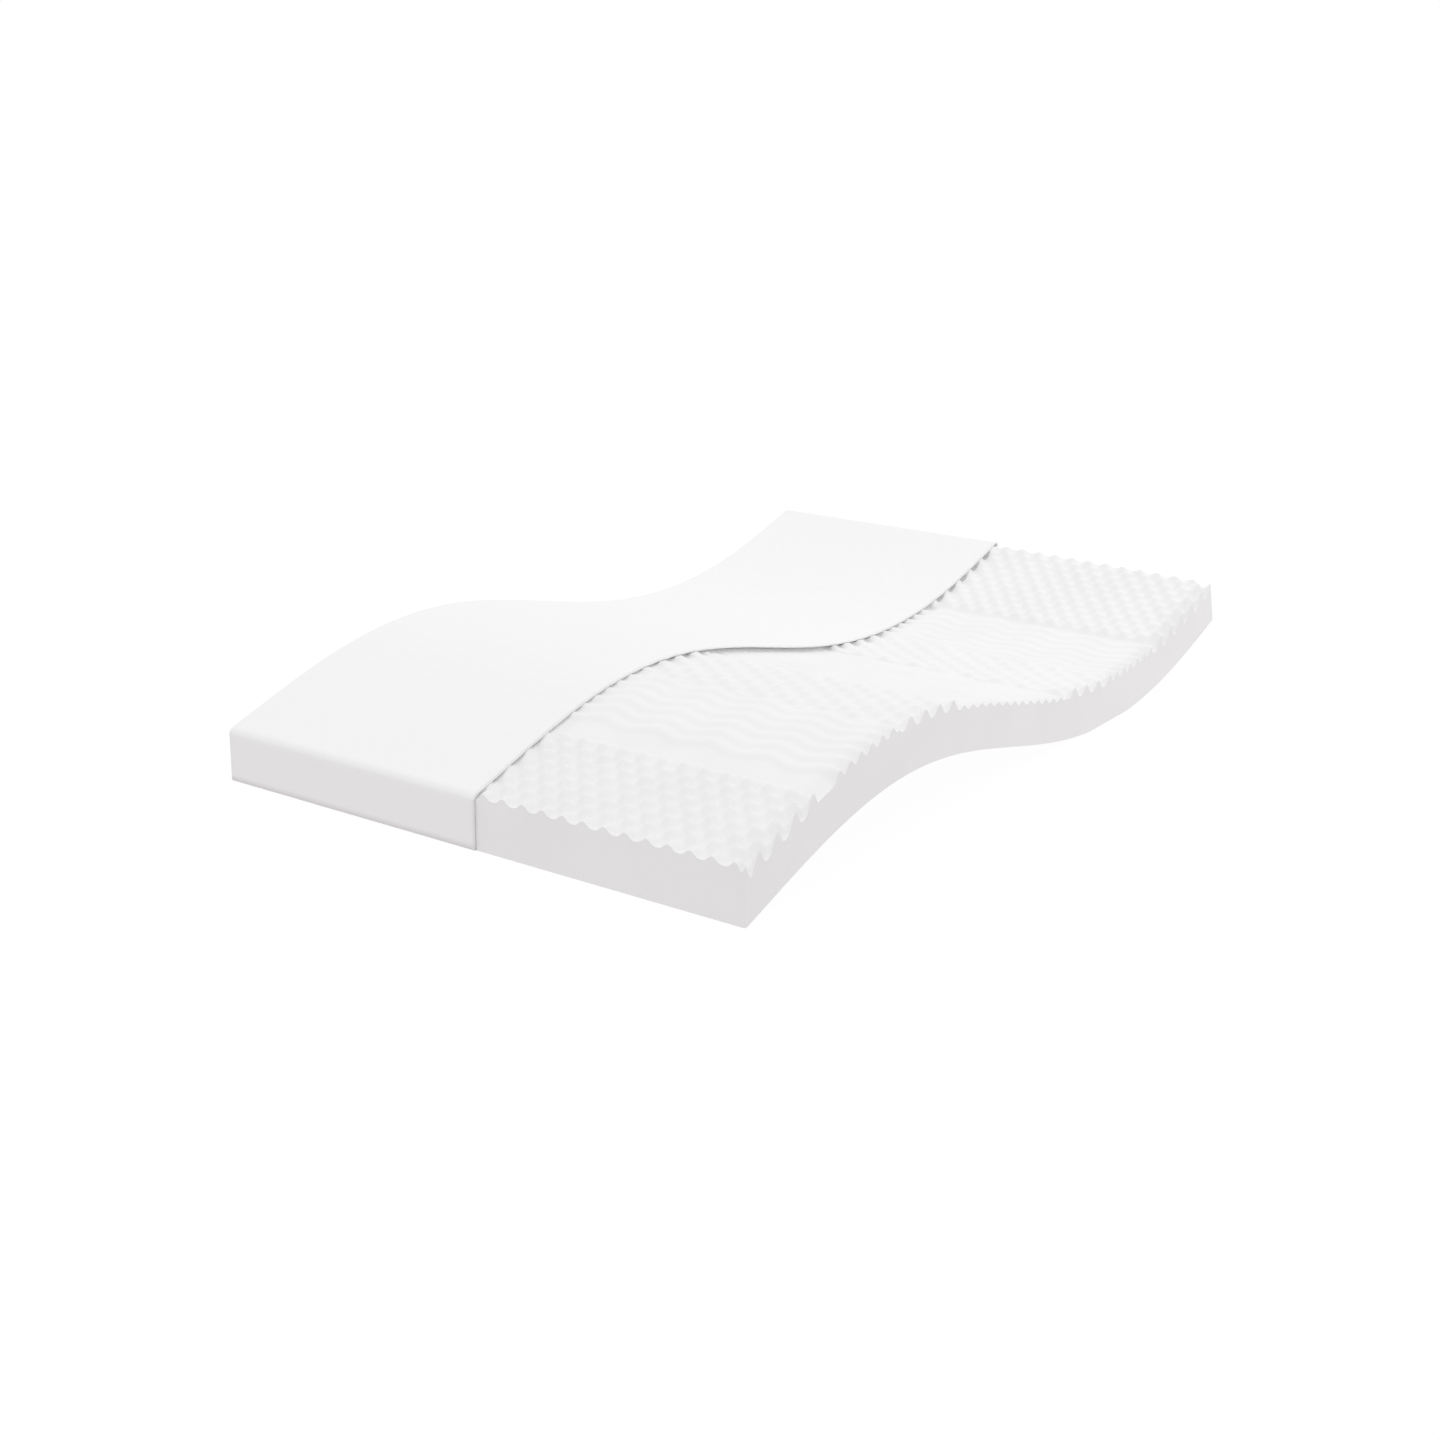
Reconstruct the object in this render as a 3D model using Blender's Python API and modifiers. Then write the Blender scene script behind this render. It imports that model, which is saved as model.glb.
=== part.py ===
"""Foam mattress lying in a shallow wave: a profiled foam core and its cover, cut away lengthwise.

Metres, +Z up. The length runs along X with the foot end at -X, and the width along Y with the
bare side of the foam at -Y. The mattress rests on the plane z = 0 with its foot edge and with
the trough of its wave. The core is one piece of foam whose upper side is cut into zones of
studs and of winding ridges. The cover is one thin sheet that wraps the +Y half and is cut off
along a straight line near the middle.
"""

from collections import namedtuple

import bmesh
import bpy
import numpy as np

COLLECTION = "foam_mattress"

# Overall sizes
LENGTH = 2.000  # along the foam, foot to head
WIDTH = 1.200  # bare side of the foam to the outside of the cover
FOAM_TALL = 0.112  # underside of the bare foam to the tips of its studs, measured plumb
HELD_TALL = 0.103  # as tall as the foam stands under the cover, which presses its tips down
COVER_THICK = 0.0025
GAP = 0.0003  # left between pieces that touch
COVER_ROOM = 0.0034  # plumb height the cover takes up on the steepest slope, with its gap
CUT_Y = -0.027  # the cover reaches from here to +Y

# The wave it lies in, as heights above the plane it rests on
CLIMB = 0.0569  # rise of the whole length for each metre towards the head
SWING = 0.0882  # the hump near the foot and the trough near the head
FULLNESS = 0.0032  # how much broader than a plain sine the hump and the trough are
SINK = 0.003  # how far the soft underside is pressed flat where it rests
CLOSE = 0.001  # stations this near the end of a flat rest stay where they are
WAVE_POINTS = 2001  # in the tables that the wave is read from
FITTING_ROUNDS = 12  # of the wave to the length of the foam

# Foam profile
LINES_ACROSS = 54  # two for each pitch of the small studs
SMALL_STUD = WIDTH / 27
LARGE_STUD = WIDTH / 18
LONG_WIND = WIDTH / 10
SHORT_WIND = WIDTH / 11
WIND = 0.009  # how far a winding ridge swings to each side of its line
EDGE_DROP = 0.010  # foam pressed down further under the cover's rounded edges
CORNER_DROP = 0.004  # how far the foot corner of the bare side stays below the tips
HEAD_LEAN = 0.0293  # how far the top of the bare head face leans back
HEAD_SAG = 0.004  # how much lower the head edge is at its bare corner

# Cover
EDGE_RADIUS = 0.012
EDGE_STEPS = 2
COVER_STATION = 0.030  # longest straight stretch of the cover along the wave

STUDS, RIDGES, PLAIN = "studs", "ridges", "plain"

# Zones of the profile from foot to head. start: the first row's place along the foam. rows and
# step: how many rows of tips or hollows, and how far apart. across: the pitch across the width,
# of the studs or of a ridge's winding. low: how far the tips stay below the full height. deep:
# from the tips down to the hollows. first: the bare edge of the first row, -1 in a hollow and
# +1 on a tip.
Zone = namedtuple("Zone", "start rows step kind across low deep first")
ZONES = (
    Zone(0.0000, 1, 0.0000, STUDS, SMALL_STUD, 0.001, 0.020, -1),
    Zone(0.0110, 8, 0.0282, STUDS, SMALL_STUD, 0.000, 0.031, -1),
    Zone(0.2320, 2, 0.0320, PLAIN, None, 0.025, 0.000, -1),
    Zone(0.2770, 12, 0.0180, RIDGES, LONG_WIND, 0.005, 0.016, -1),
    Zone(0.5120, 8, 0.0266, STUDS, LARGE_STUD, 0.003, 0.021, -1),
    Zone(0.7240, 27, 0.0180, RIDGES, SHORT_WIND, 0.020, 0.008, -1),
    Zone(1.2120, 8, 0.0290, STUDS, LARGE_STUD, 0.003, 0.021, -1),
    Zone(1.4340, 12, 0.0176, RIDGES, LONG_WIND, 0.005, 0.016, -1),
    Zone(1.6500, 1, 0.0000, PLAIN, None, 0.025, 0.000, -1),
    Zone(1.6777, 10, 0.0293, STUDS, SMALL_STUD, 0.000, 0.031, 1),
    Zone(2.0000, 1, 0.0000, STUDS, SMALL_STUD, 0.003, 0.028, 1),
)

# Finish: linear colour, roughness
FOAM_FINISH = ((0.83, 0.82, 0.83), 0.95)
COVER_FINISH = ((0.86, 0.86, 0.87), 0.85)


def wave_heights(chord):
    """Places x and plumb heights of the unpressed underside for a level length of chord."""
    turn = np.linspace(0.0, 1.0, WAVE_POINTS)
    x = turn * chord
    swing = SWING * np.sin(2 * np.pi * turn)
    fullness = FULLNESS * (1 - np.cos(4 * np.pi * turn))
    return x, CLIMB * x + swing + fullness


def lay_wave():
    """The wave as tables of length along the foam, x and height, fitted to LENGTH."""
    chord = LENGTH
    for _ in range(FITTING_ROUNDS):
        x, z = wave_heights(chord)
        along = np.concatenate([[0.0], np.cumsum(np.hypot(np.diff(x), np.diff(z)))])
        chord *= LENGTH / along[-1]
    return along, x, z


ALONG, WAVE_X, WAVE_Z = lay_wave()
CHORD = WAVE_X[-1]


def place(along, height):
    """World x and z of a point at a length along the foam and a plumb height above its underside.

    Past the two ends the wave goes on level, and nothing goes below the plane it rests on.
    """
    beyond = np.minimum(along, 0.0) + np.maximum(along - LENGTH, 0.0)
    x = np.interp(along, ALONG, WAVE_X) + beyond - CHORD / 2
    z = np.interp(along, ALONG, WAVE_Z) - SINK + height
    return x, np.maximum(z, 0.0)


def resting_limits():
    """Lengths along the foam at the ends of the stretches that are pressed flat."""
    pressed = WAVE_Z < SINK
    leaving = ALONG[:-1][pressed[:-1] & ~pressed[1:]]
    meeting = ALONG[1:][~pressed[:-1] & pressed[1:]]
    return np.concatenate([leaving, meeting])


def profile_row(zone, row, across):
    """One row of a zone: the height of each point of the bare foam, and its shift along."""
    side = float(zone.first) if row % 2 == 0 else -float(zone.first)
    swing = np.full_like(across, side)
    shift = np.zeros_like(across)
    if zone.kind == STUDS:
        swing *= np.cos(2 * np.pi * across / zone.across)
    elif zone.kind == RIDGES:
        shift = WIND * np.sin(2 * np.pi * across / zone.across)
    return FOAM_TALL - zone.low - zone.deep * (1 - swing) / 2, shift


def meet_rests(stations):
    """The stations, with the nearest inner one moved to each end of a flat rest."""
    met = np.array(stations)
    for limit in resting_limits():
        if np.abs(met - limit).min() > CLOSE:
            met[1 + np.argmin(np.abs(met[1:-1] - limit))] = limit
    return met


def core_sections():
    """The core's cross sections from foot to head, each one a closed ring of points.

    A ring runs over the profiled top towards +Y and back along the underside, which steps up
    by the room of the cover where the cover lies under it.
    """
    foam_side = WIDTH / 2 - COVER_THICK - GAP
    across = np.linspace(0.0, WIDTH, LINES_ACROSS + 1)
    across[-1] = foam_side + WIDTH / 2
    top_y = across - WIDTH / 2
    covered = top_y > CUT_Y
    inside = int(np.argmax(covered))
    within = (CUT_Y - top_y[inside - 1]) / (top_y[inside] - top_y[inside - 1])
    step_y = CUT_Y - 2 * GAP
    under_y = np.array([foam_side, step_y, step_y, -WIDTH / 2])
    under_height = np.array([COVER_ROOM, COVER_ROOM, 0.0, 0.0])

    rows = [(zone, row) for zone in ZONES for row in range(zone.rows)]
    places = [zone.start + row * zone.step for zone, row in rows]
    rings, heights = [], []
    for number, under in enumerate(meet_rests(places)):
        height, shift = profile_row(*rows[number], across)
        foot, head = number == 0, number == len(rows) - 1
        held = HELD_TALL - (EDGE_DROP if foot or head else 0.0)
        height[covered] = np.minimum(height[covered], held)
        height[-1] = min(height[-1], HELD_TALL - EDGE_DROP)
        # low enough inside the cut for the tallest tip beside it to pass under the cover's edge
        beside = (held - (1 - within) * FOAM_TALL) / within
        height[inside] = min(height[inside], beside)
        if foot:
            height[0] = FOAM_TALL - CORNER_DROP
        if head:
            height[~covered] -= HEAD_SAG * (2 * top_y[~covered] / WIDTH) ** 2
        top_x, top_z = place(places[number] + shift, height)
        if head:
            top_x[~covered] -= HEAD_LEAN * height[~covered] / FOAM_TALL
        under_x, under_z = place(np.full(4, under), 0.0)
        rings.append(
            np.stack(
                [
                    np.concatenate([top_x, under_x]),
                    np.concatenate([top_y, under_y]),
                    np.concatenate([top_z, under_z + under_height]),
                ],
                axis=1,
            )
        )
        heights.append(height)
    return np.array(rings), np.array(heights), inside


def make_core():
    """The foam core as a loft between its unlike cross sections, closed at both ends."""
    rings, heights, inside = core_sections()
    count, size = rings.shape[:2]

    bm = bmesh.new()
    points = [bm.verts.new(point) for point in rings.reshape(-1, 3)]
    for row in range(count - 1):
        for spot in range(size):
            after = (spot + 1) % size
            here, there = row * size, (row + 1) * size
            corners = [points[here + spot], points[here + after]]
            corners += [points[there + after], points[there + spot]]
            if spot < LINES_ACROSS:
                # each quad of the top folds along its lower diagonal, which keeps studs apart
                straight = heights[row, spot] + heights[row + 1, after]
                crossed = heights[row, after] + heights[row + 1, spot]
                turn = 0 if straight <= crossed else 1
                corners = corners[turn:] + corners[:turn]
                bm.faces.new([corners[0], corners[1], corners[2]])
                bm.faces.new([corners[0], corners[2], corners[3]])
            else:
                bm.faces.new(corners)
    bm.faces.new(points[:size])
    # the head face leans on the bare side and is plumb on the other, with a corner folded between
    head = points[-size:]
    step = LINES_ACROSS + 2
    bm.faces.new(head[:inside] + head[step:])
    bm.faces.new([head[inside - 1], head[inside], head[step]])
    bm.faces.new(head[inside : step + 1])
    bmesh.ops.recalc_face_normals(bm, faces=bm.faces[:])
    return add_object("foam_core", bm)


def make_cover():
    """The cover: a box without its cut side, rounded, bent into the wave and given its thickness."""
    outside = COVER_THICK + GAP
    low = np.array([-outside, CUT_Y, 0.0])
    high = np.array([LENGTH + outside, WIDTH / 2, HELD_TALL + COVER_ROOM])

    bm = bmesh.new()
    bmesh.ops.create_cube(bm, size=1.0)
    for vert in bm.verts:
        vert.co = low + (np.array(vert.co) + 0.5) * (high - low)
    open_side = [face for face in bm.faces if face.normal.y < -0.5]
    bmesh.ops.delete(bm, geom=open_side, context="FACES_ONLY")

    rounded = [
        edge
        for edge in bm.edges
        if not edge.is_boundary and min(vert.co.z for vert in edge.verts) > 0
    ]
    bmesh.ops.bevel(
        bm,
        geom=rounded,
        offset=EDGE_RADIUS,
        segments=EDGE_STEPS,
        profile=0.5,
        affect="EDGES",
    )

    first, last = low[0] + EDGE_RADIUS, high[0] - EDGE_RADIUS
    count = int(np.ceil((last - first) / COVER_STATION)) + 1
    for station in meet_rests(np.linspace(first, last, count)):
        bmesh.ops.bisect_plane(
            bm,
            geom=bm.verts[:] + bm.edges[:] + bm.faces[:],
            dist=1e-6,
            plane_co=(station, 0.0, 0.0),
            plane_no=(1.0, 0.0, 0.0),
        )
    for vert in bm.verts:
        x, z = place(vert.co.x, vert.co.z)
        vert.co.x = float(x)
        vert.co.z = float(z)

    cover = add_object("cover", bm)
    thickness = cover.modifiers.new("Thickness", "SOLIDIFY")
    thickness.thickness = COVER_THICK
    thickness.offset = -1.0
    thickness.use_even_offset = True
    thickness.use_quality_normals = True
    return cover


def add_object(name, bm):
    """A new object from a bmesh, linked to the mattress's collection."""
    mesh = bpy.data.meshes.new(name)
    bm.to_mesh(mesh)
    bm.free()
    made = bpy.data.objects.new(name, mesh)
    collection().objects.link(made)
    return made


def collection():
    """The mattress's own collection, made when first asked for."""
    found = bpy.data.collections.get(COLLECTION)
    if found is None:
        found = bpy.data.collections.new(COLLECTION)
        bpy.context.scene.collection.children.link(found)
    return found


def dress(made, name, finish):
    """Give an object its own plain material."""
    colour, roughness = finish
    material = bpy.data.materials.new(name)
    material.use_nodes = True
    shader = material.node_tree.nodes["Principled BSDF"]
    shader.inputs["Base Color"].default_value = (*colour, 1.0)
    shader.inputs["Roughness"].default_value = roughness
    shader.inputs["Metallic"].default_value = 0.0
    made.data.materials.append(material)


def main():
    """Build the mattress in an empty scene."""
    for old in list(bpy.data.objects):
        bpy.data.objects.remove(old, do_unlink=True)
    dress(make_core(), "white_foam", FOAM_FINISH)
    dress(make_cover(), "white_knit", COVER_FINISH)


main()
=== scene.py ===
"""Looks of a foam mattress lying in a shallow wave: its profiled foam core and its knitted cover.

Metres, +Z up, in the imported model's own frame. The length runs along X from the foot end at -X, and
the width along Y from the bare side of the foam at -Y. The foam's upper side is cut into zones of
studs and of winding ridges. The cover wraps the +Y half and is cut off along a straight line.
"""

import logging
import math
from dataclasses import dataclass, field
from enum import Enum

import bpy
import numpy as np
from mathutils import Matrix, Vector


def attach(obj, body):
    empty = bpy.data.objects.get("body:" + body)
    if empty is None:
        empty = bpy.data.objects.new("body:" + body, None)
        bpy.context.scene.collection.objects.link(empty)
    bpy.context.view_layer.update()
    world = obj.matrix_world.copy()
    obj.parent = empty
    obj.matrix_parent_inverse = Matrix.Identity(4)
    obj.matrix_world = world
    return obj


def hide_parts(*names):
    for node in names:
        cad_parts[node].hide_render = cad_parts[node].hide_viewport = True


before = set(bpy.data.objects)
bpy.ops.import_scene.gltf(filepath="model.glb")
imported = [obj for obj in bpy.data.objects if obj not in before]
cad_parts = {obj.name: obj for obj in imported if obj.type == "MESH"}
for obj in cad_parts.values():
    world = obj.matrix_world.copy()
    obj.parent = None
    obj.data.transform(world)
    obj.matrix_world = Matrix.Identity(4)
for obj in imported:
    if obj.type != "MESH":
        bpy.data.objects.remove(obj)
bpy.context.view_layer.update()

LOG = logging.getLogger("mattress")
BODY = "root"
TINY = 1e-9

Array = np.ndarray
Colour = tuple[float, float, float]


class Cut(Enum):
    """How a zone of the foam's upper side is cut."""

    STUDS = "rows of staggered studs"
    RIDGES = "ridges across the width that wind from side to side"
    PLAIN = "a level strip"


@dataclass(frozen=True)
class Zone:
    """One zone of the foam's upper side.

    start is the place along the foam of its first row of hollows or of hollow and tip by turns,
    end is where the next zone takes over, step is from one row to the next, across is the pitch
    of the studs or of a ridge's winding, low is how far its tips stay below the full height, and
    deep is from the tips down to the hollows at the bare side. calm is the share of that depth
    further in, where the tips lie lower by sunk. sharp above 1 narrows the tips.
    """

    start: float
    end: float
    cut: Cut
    step: float
    across: float
    low: float
    deep: float
    calm: float = 1.0
    sunk: float = 0.0
    sharp: float = 1.0


@dataclass
class Wave:
    """The wave that the mattress lies in, a table of length along the foam against x and height.

    Over a turn u from 0 to 1 the underside's height is climb times x, plus swing times the sine
    of the whole turn, plus fullness times one minus the cosine of two turns. The level length is
    scaled until the arc is as long as the foam.
    """

    length: float = 2.000
    climb: float = 0.0569
    swing: float = 0.0882
    fullness: float = 0.0032
    sink: float = 0.003  # how far the wave is let down, so that its trough lies flat
    points: int = 2001
    rounds: int = 12  # of fitting the level length
    along: Array = field(init=False)
    x: Array = field(init=False)
    z: Array = field(init=False)

    def __post_init__(self) -> None:
        """Fit the table to the foam's length."""
        turn = np.linspace(0.0, 1.0, self.points)
        chord = self.length
        for _ in range(self.rounds):
            x = turn * chord
            z = self.climb * x + self.swing * np.sin(2 * np.pi * turn)
            z = z + self.fullness * (1 - np.cos(4 * np.pi * turn))
            along = np.concatenate([[0.0], np.cumsum(np.hypot(np.diff(x), np.diff(z)))])
            chord *= self.length / along[-1]
        self.along, self.x, self.z = along, x, z

    def place(self, along: Array, height: Array) -> tuple[Array, Array]:
        """World x and z of points on the bent mattress.

        The height is measured plumb. Past the two ends the wave goes on level, and nothing goes
        below the plane it rests on.

        Args:
            along: Lengths along the foam from its foot end.
            height: Plumb heights above the underside.

        Returns:
            The x and the z of each point.
        """
        beyond = np.minimum(along, 0.0) + np.maximum(along - self.length, 0.0)
        x = np.interp(along, self.along, self.x) + beyond - self.x[-1] / 2
        z = np.interp(along, self.along, self.z) - self.sink + height
        return x, np.maximum(z, 0.0)


def smooth_step(values: Array) -> Array:
    """Ease from 0 to 1 over the unit stretch: three times the square less twice the cube."""
    inside = np.clip(values, 0.0, 1.0)
    return inside * inside * (3 - 2 * inside)


def unevenness(first: Array, second: Array, pitch: float, seed: int) -> Array:
    """A gentle seeded unevenness, the mean of eight cosines with random directions and phases.

    Args:
        first: First coordinate of each point.
        second: Second coordinate of each point.
        pitch: Shortest wavelength; the longest is three times as long.
        seed: Picks the directions and phases.

    Returns:
        Values between -1 and 1, of the same shape as the coordinates.
    """
    waves = 8
    draw = np.random.default_rng(seed)
    heading = draw.uniform(0, 2 * np.pi, waves)
    rates = 2 * np.pi / (pitch * draw.uniform(1.0, 3.0, waves))
    phase = draw.uniform(0, 2 * np.pi, waves)
    total = np.zeros(np.broadcast(first, second).shape)
    for turn, rate, start in zip(heading, rates, phase):
        total = total + np.cos(rate * (math.cos(turn) * first + math.sin(turn) * second) + start)
    return total / waves


def add_mesh(name: str, points: Array, quads: Array, caps: tuple[list[int], ...] = ()) -> bpy.types.Object:
    """A smooth-shaded mesh object at the origin.

    Args:
        name: The object's and the mesh's name.
        points: One row of x, y, z for each vertex.
        quads: One row of four vertex numbers for each face, anticlockwise from outside.
        caps: Faces with more corners, as lists of vertex numbers.

    Returns:
        The new object, linked to the scene.
    """
    mesh = bpy.data.meshes.new(name)
    mesh.from_pydata(points.tolist(), [], quads.tolist() + [list(cap) for cap in caps], shade_flat=False)
    mesh.update(calc_edges=True)
    made = bpy.data.objects.new(name, mesh)
    bpy.context.scene.collection.objects.link(made)
    return made


def mark_sharp(mesh: bpy.types.Mesh, sharp: Array) -> None:
    """Set which edges of a mesh break the smooth shading.

    Args:
        mesh: The mesh.
        sharp: For each of its edges, whether it does.
    """
    layer = mesh.attributes.new("sharp_edge", "BOOLEAN", "EDGE")
    layer.data.foreach_set("value", sharp)


def edge_ends(mesh: bpy.types.Mesh) -> Array:
    """The two vertex numbers of each edge of a mesh.

    Args:
        mesh: The mesh.

    Returns:
        One row of two numbers for each edge.
    """
    ends = np.empty(len(mesh.edges) * 2, dtype=np.int32)
    mesh.edges.foreach_get("vertices", ends)
    return ends.reshape(-1, 2)


def grid_quads(numbers: Array) -> Array:
    """Quads between neighbouring rows and columns of a table of vertex numbers.

    With rows running along X and columns along Y the faces look towards +Z.

    Args:
        numbers: The table.

    Returns:
        One row of four vertex numbers for each quad.
    """
    corners = [numbers[:-1, :-1], numbers[1:, :-1], numbers[1:, 1:], numbers[:-1, 1:]]
    return np.stack([corner.ravel() for corner in corners], axis=1)


class Wire:
    """A number carried by a node's socket; arithmetic on it adds Math nodes."""

    def __init__(self, graph: "Graph", socket: bpy.types.NodeSocket) -> None:
        """Wrap an output socket of a graph."""
        self.graph = graph
        self.socket = socket

    def _math(self, operation: str, *values: "Wire | float") -> "Wire":
        """The result of a Math node with this operation and these values."""
        return self.graph.node("ShaderNodeMath", {"operation": operation}, dict(enumerate(values)))

    def __add__(self, other: "Wire | float") -> "Wire":
        """Sum."""
        return self._math("ADD", self, other)

    def __sub__(self, other: "Wire | float") -> "Wire":
        """Difference."""
        return self._math("SUBTRACT", self, other)

    def __rsub__(self, other: float) -> "Wire":
        """A number less this one."""
        return self._math("SUBTRACT", other, self)

    def __mul__(self, other: "Wire | float") -> "Wire":
        """Product."""
        return self._math("MULTIPLY", self, other)

    __radd__ = __add__
    __rmul__ = __mul__

    def sine(self) -> "Wire":
        """Sine of this many radians."""
        return self._math("SINE", self)

    def fraction(self) -> "Wire":
        """What is left above the whole number below."""
        return self._math("FRACT", self)

    def size(self) -> "Wire":
        """Size without its sign."""
        return self._math("ABSOLUTE", self)

    def between(self, low: float, high: float) -> "Wire":
        """0 up to low, 1 from high, and eased between them."""
        settings = {"interpolation_type": "SMOOTHSTEP"}
        return self.graph.node("ShaderNodeMapRange", settings, {"Value": self, 1: low, 2: high})


class Graph:
    """A node tree being filled, of a material or of the world."""

    def __init__(self, tree: bpy.types.NodeTree) -> None:
        """Start from an empty tree."""
        tree.nodes.clear()
        self.tree = tree

    def node(
        self,
        kind: str,
        settings: dict | None = None,
        values: dict | None = None,
        output: str | int = 0,
    ) -> Wire:
        """Add a node, set it and feed it.

        Args:
            kind: The node's type.
            settings: Its own settings, set before its sockets are touched.
            values: What each input socket holds, by name or number: a wire or a plain value.
            output: The name or number of the output that is handed back.

        Returns:
            The wire of that output.
        """
        made = self.tree.nodes.new(kind)
        for name, value in (settings or {}).items():
            setattr(made, name, value)
        for name, value in (values or {}).items():
            if isinstance(value, Wire):
                self.tree.links.new(value.socket, made.inputs[name])
            else:
                made.inputs[name].default_value = value
        return Wire(self, made.outputs[output] if made.outputs else made.inputs[0])

    def blend(self, factor: Wire, first: Colour | Wire, second: Colour | Wire) -> Wire:
        """A colour between two.

        Args:
            factor: From 0 for the first to 1 for the second.
            first: The first colour.
            second: The second colour.

        Returns:
            The wire of the colour.
        """
        ends = [end if isinstance(end, Wire) else (*end, 1.0) for end in (first, second)]
        values = {0: factor, 6: ends[0], 7: ends[1]}
        return self.node("ShaderNodeMix", {"data_type": "RGBA"}, values, output=2)

    def noise(self, place: Wire, scale: float, detail: float = 2.0, rough: float = 0.5) -> Wire:
        """Cloudy noise from 0 to 1 that is scale times finer than a metre."""
        values = {"Vector": place, "Scale": scale, "Detail": detail, "Roughness": rough}
        return self.node("ShaderNodeTexNoise", None, values, output="Fac")

    def bump(self, height: Wire, distance: float, strength: float) -> Wire:
        """A normal tilted by a height from 0 to 1 that stands for distance metres."""
        values = {"Height": height, "Distance": distance, "Strength": strength}
        return self.node("ShaderNodeBump", None, values, output="Normal")

    def surface(self, shader: Wire) -> None:
        """Send a shader to the material's surface."""
        self.node("ShaderNodeOutputMaterial", None, {"Surface": shader})


@dataclass(frozen=True)
class FoamFinish:
    """Cut white foam: matt, with open cells that show as a fine relief with painted shade in their pores,
    and a faint cloudiness.
    """

    name: str = "white_foam_finish"
    light: Colour = (0.894, 0.894, 0.894)
    dull: Colour = (0.880, 0.879, 0.880)
    # painted shade: the darker colour given to the pores in the cells' hollows
    pore: Colour = (0.820, 0.818, 0.819)
    clouds: float = 9.0  # to a metre, as the cells
    cloud_range: tuple[float, float] = (0.3, 0.7)
    cells: float = 620.0
    cell_range: tuple[float, float] = (0.05, 0.45)
    clumps: float = 0.35  # of cells, to each cell
    clump_range: tuple[float, float] = (0.45, 0.75)
    pore_share: float = 0.35
    cell_share: float = 0.6  # of the relief, and the rest is the clumps'
    cell_depth: float = 0.0004
    relief: float = 0.35
    roughness: float = 0.92
    specular: float = 0.25

    def material(self) -> bpy.types.Material:
        """Build the material on object coordinates.

        Pores, darkened as painted shade, show where a cell's middle falls into a clump, and the relief is
        the mix of both.

        Returns:
            The new material.
        """
        made = bpy.data.materials.new(self.name)
        made.use_nodes = True
        graph = Graph(made.node_tree)
        place = graph.node("ShaderNodeTexCoord", output="Object")
        cell = graph.node(
            "ShaderNodeTexVoronoi", {"feature": "F1"}, {"Vector": place, "Scale": self.cells}, "Distance"
        )
        clump = graph.noise(place, self.cells * self.clumps, detail=3.0, rough=0.6)
        cloud = graph.noise(place, self.clouds)
        # painted shade in the pores, at the hollow middles of the cells within clumps
        painted_pore_shade = (1 - cell.between(*self.cell_range)) * clump.between(*self.clump_range)
        colour = graph.blend(cloud.between(*self.cloud_range), self.light, self.dull)
        colour = graph.blend(painted_pore_shade * self.pore_share, colour, self.pore)
        height = cell * self.cell_share + clump * (1 - self.cell_share)
        values = {
            "Base Color": colour,
            "Roughness": self.roughness,
            "Specular IOR Level": self.specular,
            "Normal": graph.bump(height, self.cell_depth, self.relief),
        }
        graph.surface(graph.node("ShaderNodeBsdfPrincipled", None, values))
        return made


@dataclass(frozen=True)
class KnitFinish:
    """White double-knit cloth: fine wales of V-shaped stitches along the length, with painted shade in the
    grooves between them and a soft sheen.
    """

    name: str = "white_knit_finish"
    light: Colour = (0.925, 0.925, 0.925)
    # painted shade: the darker colour given to the grooves between the yarns
    groove: Colour = (0.860, 0.860, 0.860)
    wale: float = 0.0022  # width of a column of stitches
    course: float = 0.0016  # length of a stitch
    slant: float = 0.8  # of its legs, in courses
    wander: float = 0.35  # of the wales, in wales
    wander_scale: float = 60.0
    rib_share: float = 0.6  # of the relief, and the rest is the stitches'
    # groove_range and groove_share set how much painted shade goes where the yarn relief is low
    groove_range: tuple[float, float] = (0.05, 0.6)
    groove_share: float = 0.5
    clouds: float = 5.0
    cloud_share: float = 0.15
    stitch_depth: float = 0.0003
    relief: float = 0.35
    roughness: float = 0.88
    specular: float = 0.25
    sheen: float = 0.08
    sheen_roughness: float = 0.5

    def material(self) -> bpy.types.Material:
        """Build the material on the cloth's own coordinates, which are metres along and across.

        A leg runs from 0 in the middle of a wale to 1 at its side. The stitch is a sine along that
        the leg shifts, and the rib is highest halfway along the leg.

        Returns:
            The new material.
        """
        made = bpy.data.materials.new(self.name)
        made.use_nodes = True
        graph = Graph(made.node_tree)
        flat = graph.node("ShaderNodeUVMap", {"uv_map": "cloth"}, None, "UV")
        along = graph.node("ShaderNodeSeparateXYZ", None, {"Vector": flat}, "X")
        across = graph.node("ShaderNodeSeparateXYZ", None, {"Vector": flat}, "Y")
        wander = graph.noise(flat, self.wander_scale) * self.wander
        column = (across * (1 / self.wale) + wander).fraction()
        leg = (column - 0.5).size() * 2
        stitch = ((along * (1 / self.course) + leg * self.slant) * (2 * math.pi)).sine() * 0.5 + 0.5
        rib = 1 - (leg - 0.5).size() * 2
        yarn = rib * self.rib_share + stitch * (1 - self.rib_share)
        cloud = graph.noise(flat, self.clouds)
        # painted shade where the yarn relief is low, in the grooves between stitches, plus faint clouds of
        # random tone
        groove_shade_and_clouds = (1 - yarn.between(*self.groove_range)) * self.groove_share + cloud * self.cloud_share
        values = {
            "Base Color": graph.blend(groove_shade_and_clouds, self.light, self.groove),
            "Roughness": self.roughness,
            "Specular IOR Level": self.specular,
            "Sheen Weight": self.sheen,
            "Sheen Roughness": self.sheen_roughness,
            "Normal": graph.bump(yarn, self.stitch_depth, self.relief),
        }
        graph.surface(graph.node("ShaderNodeBsdfPrincipled", None, values))
        return made


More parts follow.
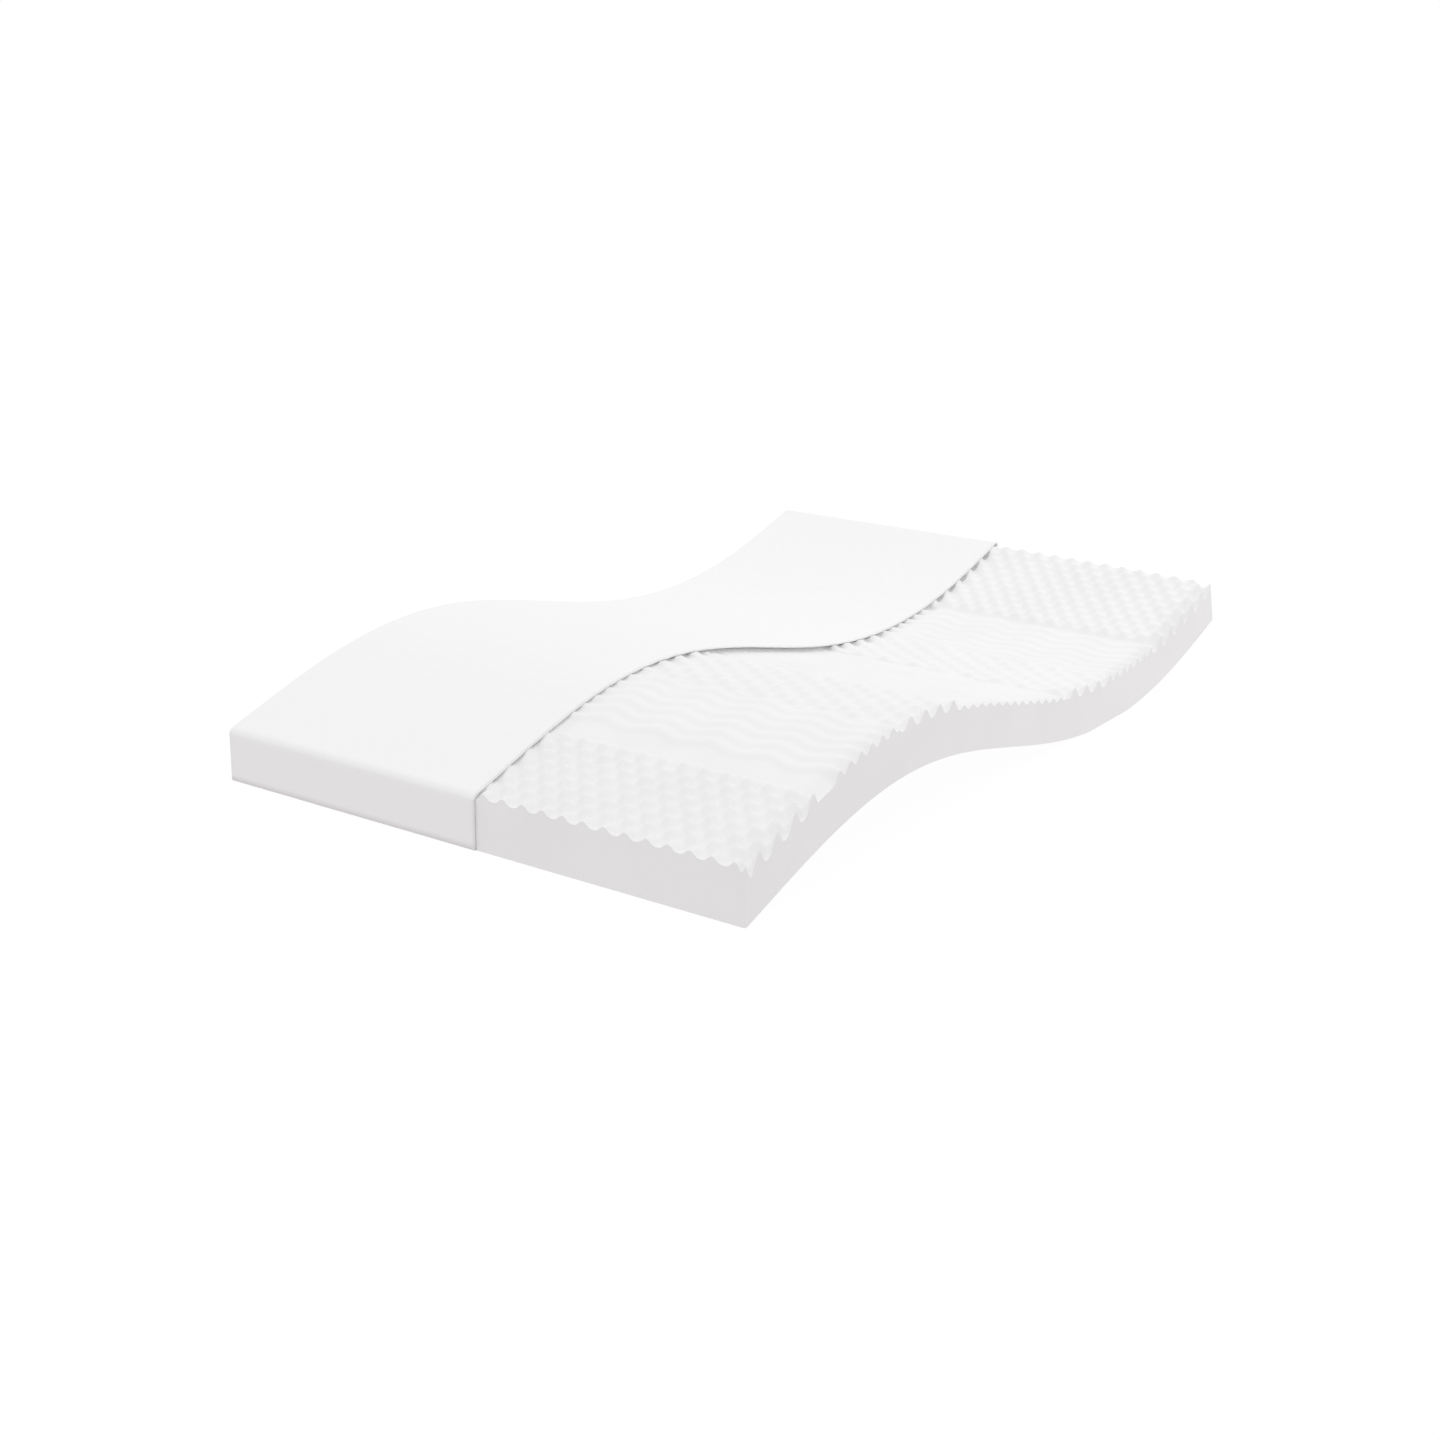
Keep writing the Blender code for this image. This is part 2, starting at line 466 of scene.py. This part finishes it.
@dataclass
class FoamCore:
    """The one-piece foam core with its profiled upper side."""

    wave: Wave
    finish: FoamFinish
    width: float = 1.200
    tall: float = 0.112  # to the tips of the bare studs
    held: float = 0.103  # as tall as the cover lets the foam stand
    side: float = 0.5972  # the foam's +Y side, inside the cover
    cut_y: float = -0.027  # edge of the cover
    press: float = 0.013  # over which the tips sink towards the cover's edge
    cut_reach: float = 0.028  # over which the profile gets its side's form again towards the cut
    cut_share: float = 0.7  # of that form it gets
    cut_depth: tuple[float, float] = (0.0125, 0.0205)  # of hollows beside the cut, foot and middle
    cut_change: tuple[float, float] = (0.5, 0.3)  # where that depth changes, and over what length
    cut_fill: float = 0.85  # share of what lies deeper there that is filled
    cut_fill_reach: float = 0.022
    step_y: float = -0.0276  # where the underside steps up to let the cover under it
    cover_room: float = 0.0034  # plumb height that the cover takes up, with its gap
    hush: float = 0.75  # share of the profile's depth that is lost under the cover
    hush_reach: float = 0.022
    round_in: float = 0.0095  # rounding of the foam's edges pressed by the cover
    head_round: float = 0.001  # rounding of the bare head edge
    head_start: float = 1.9414  # from here the head end of the upper side is drawn back
    lean: tuple[float, float] = (0.023, 0.036)  # of the bare head face, at the cut and at its corner
    upright: float = 0.001  # distance from the cut, up to which the head face stands plumb
    turn_reach: float = 0.017  # over which it turns from plumb to leaning
    head_sag: float = 0.004
    head_fill: float = 0.3  # share of the depth that the last hollows lose
    head_reach: float = 0.020
    first_row: float = 0.0110  # of hollows and tips, which runs on to the foot face
    foot_fill: float = 0.35  # share of the depth that the hollows lose at the foot face
    foot_reach: float = 0.014
    corner_drop: float = 0.004
    corner_reach: float = 0.007
    side_reach: float = 0.045  # over which the hollows deepen towards the bare side
    wind: float = 0.009  # how far the ridges swing
    ramp: float = 0.008  # half the slope between two zones
    rough: float = 0.0005  # unevenness of the cut surface
    rough_pitch: float = 0.050
    rough_from: float = 0.004  # depth from which it is full, so that tips stay even
    station: float = 0.00488  # between rows of points along the foam
    line: float = 0.00296  # between points across, where it is bare
    line_past: float = 0.036  # how far such points run on under the cover
    coarse: float = 0.030  # between points where the cover hides it
    edge_strip: float = 0.020  # up to the +Y side, with points on its rounding only
    zones: tuple[Zone, ...] = (
        # start, end, cut, step, across, low, deep, calm, sunk, sharp, from foot to head
        Zone(0.0110, 0.2240, Cut.STUDS, 0.0282, 1.2 / 27, 0.000, 0.031, 0.52, 0.000, 1.7),
        Zone(0.2240, 0.2815, Cut.PLAIN, 1.0, 1.0, 0.025, 0.000, 1.0, -0.010),
        Zone(0.2770, 0.4960, Cut.RIDGES, 0.0180, 1.2 / 10, 0.005, 0.016, 0.16, 0.005),
        Zone(0.5120, 0.7110, Cut.STUDS, 0.0266, 1.2 / 18, 0.003, 0.021, 0.42, 0.004, 1.6),
        Zone(0.7240, 1.2010, Cut.RIDGES, 0.0180, 1.2 / 11, 0.018, 0.008, 0.30, -0.001),
        Zone(1.2120, 1.4260, Cut.STUDS, 0.0290, 1.2 / 18, 0.003, 0.021, 0.34, 0.006, 1.6),
        Zone(1.4340, 1.6390, Cut.RIDGES, 0.0176, 1.2 / 10, 0.005, 0.016, 0.13, 0.006),
        Zone(1.6390, 1.6640, Cut.PLAIN, 1.0, 1.0, 0.025, 0.000, 1.0, -0.011),
        Zone(1.6484, 2.1000, Cut.STUDS, 0.0293, 1.2 / 27, 0.000, 0.031, 0.33, 0.000, 1.7),
    )

    def zone_drop(self, zone: Zone, along: Array, across: Array) -> Array:
        """How far a zone's surface lies below the full height.

        Studs swing as the product of a cosine along, half a turn to a row, and of one across, a
        turn to a pitch. Ridges swing as a cosine along that is shifted by a sine across. The swing
        from -1 to 1 is brought to 0 to 1, raised to the zone's sharpness and hung from the tips.
        Further in from the bare side its depth eases to the zone's calm share, and most of that is
        taken back beside the cut.

        Args:
            zone: The zone.
            along: Lengths along the foam.
            across: Distances from the bare side.

        Returns:
            The drop of each point.
        """
        beside_cut = smooth_step((across - self.width / 2 - self.cut_y) / self.cut_reach + 1.0)
        further_in = 1 - smooth_step(1 - across / self.side_reach)
        further_in = further_in * (1 - self.cut_share * beside_cut)
        low = zone.low + zone.sunk * further_in
        if zone.cut is Cut.PLAIN:
            return low + np.zeros(along.shape)
        turn = 2 * np.pi * across / zone.across
        if zone.cut is Cut.STUDS:
            swing = -np.cos(np.pi * (along - zone.start) / zone.step) * np.cos(turn)
        else:
            shifted = along - self.wind * np.sin(turn) - zone.start
            swing = -np.cos(np.pi * shifted / zone.step)
        lift = ((1 + swing) / 2) ** zone.sharp
        return low + zone.deep * (1 - (1 - zone.calm) * further_in) * (1 - lift)

    def drop(self, along: Array, across: Array) -> Array:
        """How far the upper side lies below the full height, zones eased into one another.

        A border eases over its ramp. Beside a ridged zone it winds with the ridges.

        Args:
            along: Lengths along the foam.
            across: Distances from the bare side.

        Returns:
            The drop of each point.
        """
        total = np.zeros(np.broadcast(along, across).shape)
        before = 1.0
        for zone, after in zip(self.zones, [*self.zones[1:], self.zones[-1]]):
            ridged = next((side for side in (zone, after) if side.cut is Cut.RIDGES), None)
            bend = self.wind * np.sin(2 * np.pi * across / ridged.across) if ridged else 0.0
            past = smooth_step((along - zone.end - bend + self.ramp) / (2 * self.ramp))
            total = total + (before - past) * self.zone_drop(zone, along, across)
            before = past
        return total

    @staticmethod
    def rounding(inward: Array, radius: float) -> Array:
        """Drop of a quarter-round edge of this radius at a distance in from its side."""
        short = np.clip(radius - inward, 0.0, radius)
        return radius - np.sqrt(radius**2 - short**2)

    def lines(self) -> Array:
        """Places across the width: close where the foam is bare, far apart under the cover.

        Returns:
            The places from the bare side to the +Y side.
        """
        bare = np.arange(-self.width / 2, self.cut_y + self.line_past, self.line)
        hidden_end = self.side - self.edge_strip
        count = int(round((hidden_end - bare[-1]) / self.coarse))
        hidden = np.linspace(bare[-1], hidden_end, count + 1)[1:]
        edge = self.side - self.round_in * np.array([1.0, 0.5, 0.2, 0.0])
        return np.concatenate([bare, hidden, edge])

    def heights(self, along: Array, y: Array) -> Array:
        """Plumb height of the upper side above the underside.

        The bare height is the full height less the zones' drop. The first row of hollows and tips
        runs on to the foot face and gets shallower there, and the foot corner stands. At the head
        edge the hollows get shallower too, and it sags with the square of the distance from the
        middle. Beside the cut the deepest hollows fill up. From a little before the cut the height
        is held down to what the cover allows, and inside it the depth left below that fades.

        Args:
            along: Lengths along the foam, one row a station.
            y: Places across, one column a line, or one for each point.

        Returns:
            The height of each point.
        """
        drop = self.drop(np.maximum(along, self.first_row), y + self.width / 2)
        near_foot = smooth_step(1 - along / self.foot_reach)
        drop = drop * (1 - self.foot_fill * near_foot)
        apart = along**2 + (y + self.width / 2) ** 2
        corner = np.exp(-apart / self.corner_reach**2)
        drop = drop + (self.corner_drop - drop) * corner
        near_head = smooth_step((along - self.head_start) / self.head_reach)
        drop = drop + self.head_sag * near_head * np.minimum(2 * y / self.width, 0.0) ** 2
        drop = drop - near_head * self.head_fill * drop
        rough = self.rough * unevenness(along, y, self.rough_pitch, seed=7)
        drop = drop + rough * np.minimum(drop / self.rough_from, 1.0)
        near_cut = smooth_step((y - self.cut_y) / self.cut_fill_reach + 1.0)
        shallow, deep = self.cut_depth
        change_start, change_length = self.cut_change
        depth = shallow + (deep - shallow) * smooth_step((along - change_start) / change_length)
        drop = drop - self.cut_fill * near_cut * np.maximum(drop - depth, 0.0)
        height = self.tall - drop
        pressed = smooth_step((y - self.cut_y) / self.press + 1.0)
        height = height + pressed * (np.minimum(height, self.held) - height)
        fade = self.hush * smooth_step((y - self.cut_y) / self.hush_reach)
        return height + fade * np.maximum(self.held - height, 0.0)

    def sections(self) -> tuple[Array, int]:
        """The core's closed cross sections from foot to head.

        Each runs over the upper side towards +Y and back along the underside. The bare head face
        leans back, because the upper side is drawn back towards the head end, in step with how
        near it is. The foam's edges under the cover are rounded.

        Returns:
            The points, by station and place in the ring, and how many of a ring are on top.
        """
        count = int(round(self.wave.length / self.station)) + 1
        along = np.linspace(0.0, self.wave.length, count)[:, None]
        y = self.lines()[None, :]
        bare = smooth_step((self.cut_y - self.upright - y) / self.turn_reach)
        share = np.clip((self.cut_y - y) / (self.cut_y + self.width / 2), 0.0, 1.0)
        lean = bare * (self.lean[0] + share * (self.lean[1] - self.lean[0]))
        to_head = (along - self.head_start) / (self.wave.length - self.head_start)
        top_along = along - lean * np.clip(to_head, 0.0, 1.0)
        height = self.heights(top_along, y)
        to_end = np.minimum(along, self.wave.length - along)
        covered = y > self.cut_y
        end_round = self.rounding(to_end, self.round_in)
        edges = np.maximum(self.rounding(self.side - y, self.round_in), end_round)
        height = np.where(covered, np.minimum(height, self.held - edges), height)
        bare_round = self.rounding(self.wave.length - along, self.head_round)
        height = height - np.where(covered, 0.0, bare_round)
        tucked = np.minimum(y, self.side - end_round)
        top_x, top_z = self.wave.place(top_along, height)
        top = np.stack([top_x, np.broadcast_to(tucked, height.shape), top_z], axis=2)

        under_y = np.array([self.side, self.step_y, self.step_y, -self.width / 2])[None, :]
        under_y = np.minimum(under_y, self.side - end_round)
        under_height = np.array([self.cover_room, self.cover_room, 0.0, 0.0])[None, :]
        level = np.zeros(under_y.shape)
        under_x, under_z = self.wave.place(np.broadcast_to(along, under_y.shape), level)
        under = np.stack([under_x, under_y, under_z + under_height], axis=2)
        return np.concatenate([top, under], axis=1), y.shape[1]

    def head_faces(self, ring: Array, top_count: int) -> list[list[int]]:
        """The head face in three parts: leaning and bare, a narrow turn beside the cut, and plumb.

        Args:
            ring: Vertex numbers of the last section.
            top_count: How many of them are on the upper side.

        Returns:
            The vertex numbers of each part, anticlockwise from outside.
        """
        y = self.lines()
        turn = int(np.sum(y < self.cut_y - self.upright - self.turn_reach))
        upright = int(np.sum(y < self.cut_y - self.upright))
        side, step_top, step_foot, corner = ring[top_count:]
        parts = [
            [*ring[: turn + 1], step_foot, corner],
            [*ring[turn : upright + 1], step_top, step_foot],
            [*ring[upright:top_count], side, step_top],
        ]
        return [[int(number) for number in part[::-1]] for part in parts]

    def build(self) -> bpy.types.Object:
        """Loft the sections into a closed piece, dress it and hand it to the frame.

        Returns:
            The foam's object.
        """
        rings, top_count = self.sections()
        count, size = rings.shape[:2]
        numbers = np.arange(count * size).reshape(count, size)
        closed = np.concatenate([numbers, numbers[:, :1]], axis=1)
        caps = (numbers[0].tolist(), *self.head_faces(numbers[-1], top_count))
        made = add_mesh("profiled_foam", rings.reshape(-1, 3), grid_quads(closed), caps)

        station, spot = np.divmod(edge_ends(made.data), size)
        at_end = (station[:, 0] == station[:, 1]) & np.isin(station[:, 0], [0, count - 1])
        rims = [0, *range(top_count - 1, size)]
        on_rim = (spot[:, 0] == spot[:, 1]) & np.isin(spot[:, 0], rims)
        mark_sharp(made.data, at_end | on_rim)

        made.data.materials.append(self.finish.material())
        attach(made, BODY)
        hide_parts("foam_core")
        LOG.info("%s: %d stations of %d points", made.name, count, size)
        return made


def sheet_edge(along: Array, across: Array) -> Array:
    """The edge of a level sheet, from the cut at the foot round to the cut at the head.

    Args:
        along: Lines of the sheet along the foam.
        across: Lines of the sheet across it, from the cut.

    Returns:
        One row of the places along and across for each point of the edge.
    """
    foot = np.stack([np.full(len(across), along[0]), across], axis=1)
    long_side = np.stack([along[1:-1], np.full(len(along) - 2, across[-1])], axis=1)
    head = np.stack([np.full(len(across), along[-1]), across[::-1]], axis=1)
    return np.concatenate([foot, long_side, head])


@dataclass
class Cover:
    """The knitted cover over the +Y half, open at its cut side.

    Its outside is a level sheet whose edge is carried outward over a quarter round, down the
    walls, round the lower edge and back under the foam, and then bent with the wave.
    """

    wave: Wave
    finish: KnitFinish
    core: FoamCore
    thick: float = 0.0025
    gap: float = 0.0003
    edge_round: float = 0.012
    foot_round: float = 0.003
    edge_points: int = 6  # over the upper rounding, with the one it starts from
    wall_points: int = 8  # down the wall, in the same way
    foot_points: int = 4  # round the lower rounding
    spacing: float = 0.0095  # between lines of the level sheet
    close: tuple[float, ...] = (0.003, 0.006, 0.010, 0.015, 0.022)  # of lines beside its edge
    margin: float = 0.030  # from its edge, where the even lines start
    flare: float = 0.0020  # how far the cut edge stands off the foam's ends
    flare_reach: float = 0.035
    dip: float = 0.0008  # sag between the tips of the studs
    dip_reach: float = 0.020  # from the edge, over which it grows
    dip_depth: float = 0.012  # of a hollow over which it is full
    corner_reach: float = 0.030  # along which the upright corners' points are spread
    flat: tuple[float, float] = (1.360, 2.222)
    flat_area: float = 2.86

    def levels(self) -> tuple[Array, Array, Array]:
        """Offsets outward, heights and lengths along the cloth of the rings round the sheet.

        Returns:
            Offset of each ring from the sheet's edge, its height, and the length of cloth to it.
        """
        top = self.core.held + self.core.cover_room
        turn = np.linspace(0, np.pi / 2, self.edge_points)[1:]
        offset = [self.edge_round * np.sin(turn)]
        height = [top - self.edge_round * (1 - np.cos(turn))]
        wall = np.linspace(top - self.edge_round, self.foot_round, self.wall_points)[1:]
        offset.append(np.full(wall.shape, self.edge_round))
        height.append(wall)
        turn = np.linspace(0, np.pi / 2, self.foot_points)[1:]
        offset.append(self.edge_round - self.foot_round * (1 - np.cos(turn)))
        height.append(self.foot_round * (1 - np.sin(turn)))
        offset.append(np.array([0.0]))
        height.append(np.array([0.0]))
        offset, height = np.concatenate(offset), np.concatenate(height)
        steps = np.hypot(np.diff(offset, prepend=0.0), np.diff(height, prepend=top))
        return offset, height, np.cumsum(steps)

    def sheet_lines(self) -> tuple[Array, Array]:
        """Lines of the level sheet, drawn closer near its corners.

        Returns:
            The places of the lines along the foam, and those across it.
        """
        outside = self.thick + self.gap
        low = self.edge_round - outside
        high = self.wave.length + outside - self.edge_round
        inner = self.core.width / 2 - self.edge_round
        close = np.array(self.close)
        count = int(round((high - low - 2 * self.margin) / self.spacing))
        middle = np.linspace(low + self.margin, high - self.margin, count + 1)
        along = np.concatenate([[low], low + close, middle, high - close[::-1], [high]])
        count = int(round((inner - self.margin - self.core.cut_y) / self.spacing))
        spread = np.linspace(self.core.cut_y, inner - self.margin, count + 1)
        across = np.concatenate([spread, inner - close[::-1], [inner]])
        return along, across

    def rings(self, along: Array, across: Array, offset: Array) -> tuple[Array, Array, Array]:
        """Where the rings round the level sheet lie, with rounded upright corners.

        A point's distance from the sheet's corner is lengthened by an eighth of a circle of the
        ring's offset. What falls within that eighth lies on the arc about the corner, and the rest
        lies straight beside the sheet's edge.

        Args:
            along: Lines of the sheet along the foam.
            across: Lines of the sheet across it.
            offset: Offset of each ring.

        Returns:
            Places along and across of each ring's points, and their unit steps outward.
        """
        base = sheet_edge(along, across)
        middle = (along[0] + along[-1]) / 2
        at_head = base[:, 0] > middle
        corner = np.where(at_head, along[-1], along[0])
        mirror = np.where(at_head, -1.0, 1.0)
        from_end = (base[:, 0] - corner) * mirror
        from_side = across[-1] - base[:, 1]
        on_side = from_end > TINY
        distance = np.where(on_side, from_end, from_side)

        radius = offset[:, None]
        arc = np.pi * radius / 4
        run = distance + np.minimum(distance / self.corner_reach, 1.0) * arc
        straight = np.maximum(run - arc, 0.0)
        bend = np.where(radius > 0, np.minimum(run, arc) / np.maximum(radius, TINY), np.pi / 4)
        angle = 0.75 * np.pi + np.where(on_side, -bend, bend)
        local = radius * np.cos(angle) + np.where(on_side, straight, 0.0)
        y = across[-1] + radius * np.sin(angle) - np.where(on_side, 0.0, straight)
        return corner + mirror * local, y, np.stack([mirror * np.cos(angle), np.sin(angle)], axis=2)

    def outside(self) -> tuple[Array, Array, Array]:
        """The cloth's outside: the level sheet, the rings round its edge and the sheet underneath.

        The level sheet dips over the foam's hollows, in step with their depth and with the
        distance from its edge. The cut edge stands off the foam's ends by the flare, which fades
        with the square of the distance left to its reach.

        Returns:
            The points, the quads, and the place on the flat cloth of each quad's four corners.
        """
        along, across = self.sheet_lines()
        offset, height, reach = self.levels()
        sheet_along, sheet_y = np.meshgrid(along, across, indexing="ij")
        ring_along, ring_y, way = self.rings(along, across, offset)
        rows, columns = sheet_y.shape
        around = ring_y.shape[1]

        core = self.core
        hollow = core.held - core.tall + core.drop(sheet_along, sheet_y + core.width / 2)
        inside = np.minimum(sheet_along - along[0], along[-1] - sheet_along)
        inside = smooth_step(np.minimum(inside, across[-1] - sheet_y) / self.dip_reach)
        sag = self.dip * inside * np.clip(hollow / self.dip_depth, 0.0, 1.0)
        sheet_height = core.held + core.cover_room - sag

        near_cut = np.clip(1 - (ring_y - core.cut_y) / self.flare_reach, 0.0, 1.0) ** 2
        standing = smooth_step(offset / self.edge_round) * (height > self.foot_round)
        ring_along = ring_along + way[:, :, 0] * self.flare * near_cut * standing[:, None]

        upper_x, upper_z = self.wave.place(
            np.concatenate([sheet_along.ravel(), ring_along.ravel()]),
            np.concatenate([sheet_height.ravel(), np.repeat(height, around)]),
        )
        upper_y = np.concatenate([sheet_y.ravel(), ring_y.ravel()])
        under_x, under_z = self.wave.place(sheet_along, np.zeros(sheet_y.shape))
        upper_points = np.stack([upper_x, upper_y, upper_z], axis=1)
        under_points = np.stack([under_x, sheet_y, under_z], axis=2).reshape(-1, 3)
        points = np.concatenate([upper_points, under_points])

        sheet = np.arange(rows * columns).reshape(rows, columns)
        edge = np.concatenate([sheet[0], sheet[1:-1, -1], sheet[-1, ::-1]])
        bands = rows * columns + np.arange(len(offset) * around).reshape(len(offset), around)
        under = len(upper_points) + sheet
        last = bands[-1]
        under[0] = last[:columns]
        under[1:-1, -1] = last[columns:-columns]
        under[-1] = last[-columns:][::-1]
        above = np.concatenate([grid_quads(sheet), grid_quads(np.concatenate([edge[None], bands]).T)])
        below = grid_quads(under)[:, ::-1]
        faces = np.concatenate([above, below])
        used = np.unique(faces)
        renumber = np.full(len(points), -1)
        renumber[used] = np.arange(len(used))

        base = sheet_edge(along, across)
        beside = base[None] + way * reach[:, None, None]
        level = np.stack([sheet_along, sheet_y], axis=2).reshape(-1, 2)
        flat = np.concatenate([level, beside.reshape(-1, 2), level])
        flat_under = flat.copy()
        flat_under[last] = base
        return points[used], renumber[faces], np.concatenate([flat[above], flat_under[below]])

    def build(self) -> bpy.types.Object:
        """Build the cloth's outside, thicken it inward, dress it and hand it to the frame.

        Returns:
            The cover's object.
        """
        points, faces, corners = self.outside()
        made = add_mesh("knit_cover", points, faces)
        layer = made.data.uv_layers.new(name="cloth")
        layer.data.foreach_set("uv", corners.reshape(-1).astype(np.float32))

        thickness = made.modifiers.new("Thickness", "SOLIDIFY")
        thickness.thickness = self.thick
        thickness.offset = -1.0
        thickness.use_even_offset = True
        thickness.use_quality_normals = True
        made.data.materials.append(self.finish.material())
        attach(made, BODY)
        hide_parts("cover")
        LOG.info("%s: %d faces before its thickness", made.name, len(faces))
        return made


@dataclass(frozen=True)
class Studio:
    """A white floor, a white sky that is a little dimmer low down, and one large soft light."""

    floor_size: float = 60.0
    floor_level: float = -0.0005
    floor_glow: float = 0.93
    floor_colour: Colour = (0.08, 0.08, 0.08)
    near_bounce: Colour = (0.715, 0.680, 0.698)  # light that the floor throws back at the foot end
    far_bounce: Colour = (0.845, 0.810, 0.828)  # and at the head end
    bounce_range: tuple[float, float] = (-1.6, 1.4)  # of x, over which it changes
    backdrop: float = 1.0
    low_sky: float = 0.84
    high_sky: float = 1.16
    light_place: tuple[float, float, float] = (3.6, -1.3, 1.9)
    light_aim: tuple[float, float, float] = (0.5, -0.1, 0.1)
    light_size: float = 2.0
    light_power: float = 17.0

    def floor(self) -> None:
        """A level floor that looks nearly white to the camera, with faint shadows only.

        To every other ray it is a black surface that glows as brightly as a white floor would
        throw light back at the mattress, a little less at the foot end.
        """
        half = self.floor_size / 2
        corners = np.array([[-half, -half], [half, -half], [half, half], [-half, half]])
        points = np.concatenate([corners, np.full((4, 1), self.floor_level)], axis=1)
        made = add_mesh("studio_floor", points, np.array([[0, 1, 2, 3]]))
        finish = bpy.data.materials.new("pale_floor_finish")
        finish.use_nodes = True
        graph = Graph(finish.node_tree)
        values = {
            "Base Color": (*self.floor_colour, 1.0),
            "Roughness": 1.0,
            "Specular IOR Level": 0.0,
            "Emission Color": (1.0, 1.0, 1.0, 1.0),
            "Emission Strength": self.floor_glow,
        }
        seen = graph.node("ShaderNodeBsdfPrincipled", None, values)
        place = graph.node("ShaderNodeTexCoord", output="Object")
        along = graph.node("ShaderNodeSeparateXYZ", None, {"Vector": place}, "X")
        glow = {
            "Base Color": (0.0, 0.0, 0.0, 1.0),
            "Roughness": 1.0,
            "Specular IOR Level": 0.0,
            "Emission Color": graph.blend(
                along.between(*self.bounce_range), self.near_bounce, self.far_bounce
            ),
            "Emission Strength": 1.0,
        }
        bounce = graph.node("ShaderNodeBsdfPrincipled", None, glow)
        by_camera = graph.node("ShaderNodeLightPath", output="Is Camera Ray")
        graph.surface(graph.node("ShaderNodeMixShader", None, {0: by_camera, 1: bounce, 2: seen}))
        made.data.materials.append(finish)

    def sky(self) -> None:
        """A sky that lights by the square of its height, seen itself as an even white backdrop."""
        world = bpy.data.worlds.new("studio_sky")
        world.use_nodes = True
        bpy.context.scene.world = world
        graph = Graph(world.node_tree)
        place = graph.node("ShaderNodeTexCoord", output="Generated")
        up = graph.node("ShaderNodeSeparateXYZ", None, {"Vector": place}, "Z")
        rise = up * up
        strength = rise * (self.high_sky - self.low_sky) + self.low_sky
        white = (1.0, 1.0, 1.0, 1.0)
        lighting = graph.node("ShaderNodeBackground", None, {"Color": white, "Strength": strength})
        backdrop = graph.node("ShaderNodeBackground", None, {"Color": white, "Strength": self.backdrop})
        seen = graph.node("ShaderNodeLightPath", output="Is Camera Ray")
        glow = graph.node("ShaderNodeMixShader", None, {0: seen, 1: lighting, 2: backdrop})
        graph.node("ShaderNodeOutputWorld", None, {"Surface": glow})

    def light(self) -> None:
        """The large soft light past the head end."""
        data = bpy.data.lights.new("soft_light", "AREA")
        data.shape = "DISK"
        data.size = self.light_size
        data.energy = self.light_power
        made = bpy.data.objects.new("soft_light", data)
        made.location = self.light_place
        aim = Vector(self.light_aim) - Vector(self.light_place)
        made.rotation_euler = aim.to_track_quat("-Z", "Y").to_euler()
        made.visible_camera = False
        bpy.context.scene.collection.objects.link(made)

    def build(self) -> None:
        """Set the whole studio."""
        self.floor()
        self.sky()
        self.light()
        bpy.context.scene.view_settings.view_transform = "Standard"
        bpy.context.scene.view_settings.look = "None"
        LOG.info("studio: floor, sky and one soft light")


@dataclass(frozen=True)
class Viewpoint:
    """The camera at the photograph's place, angles in degrees."""

    place: tuple[float, float, float] = (-3.5322, -2.2951, 1.3287)
    yaw: float = 34.441
    pitch: float = 17.661
    roll: float = 1.027
    lens: float = 51.36
    sensor: float = 36.0

    def build(self) -> None:
        """Make the camera and give it to the scene."""
        yaw, pitch, roll = (math.radians(angle) for angle in (self.yaw, self.pitch, self.roll))
        forward = Vector(
            (math.cos(yaw) * math.cos(pitch), math.sin(yaw) * math.cos(pitch), -math.sin(pitch))
        )
        level = Vector((math.sin(yaw), -math.cos(yaw), 0.0))
        upright = level.cross(forward)
        right = math.cos(roll) * level + math.sin(roll) * upright
        up = -math.sin(roll) * level + math.cos(roll) * upright
        data = bpy.data.cameras.new("camera")
        data.lens = self.lens
        data.sensor_width = self.sensor
        data.dof.use_dof = False
        made = bpy.data.objects.new("camera", data)
        turn = Matrix((right, up, -forward)).transposed()
        made.matrix_world = Matrix.Translation(self.place) @ turn.to_4x4()
        bpy.context.scene.collection.objects.link(made)
        bpy.context.scene.camera = made
        LOG.info("camera: %.1f mm lens", self.lens)


def main() -> None:
    """Build the mattress, then its studio and its camera."""
    logging.basicConfig(level=logging.INFO, format="%(message)s")
    wave = Wave()
    core = FoamCore(wave, FoamFinish())
    foam = core.build()
    cover = Cover(wave, KnitFinish(), core)
    cover.build()
    Studio().build()
    Viewpoint().build()


if __name__ == "__main__":
    main()
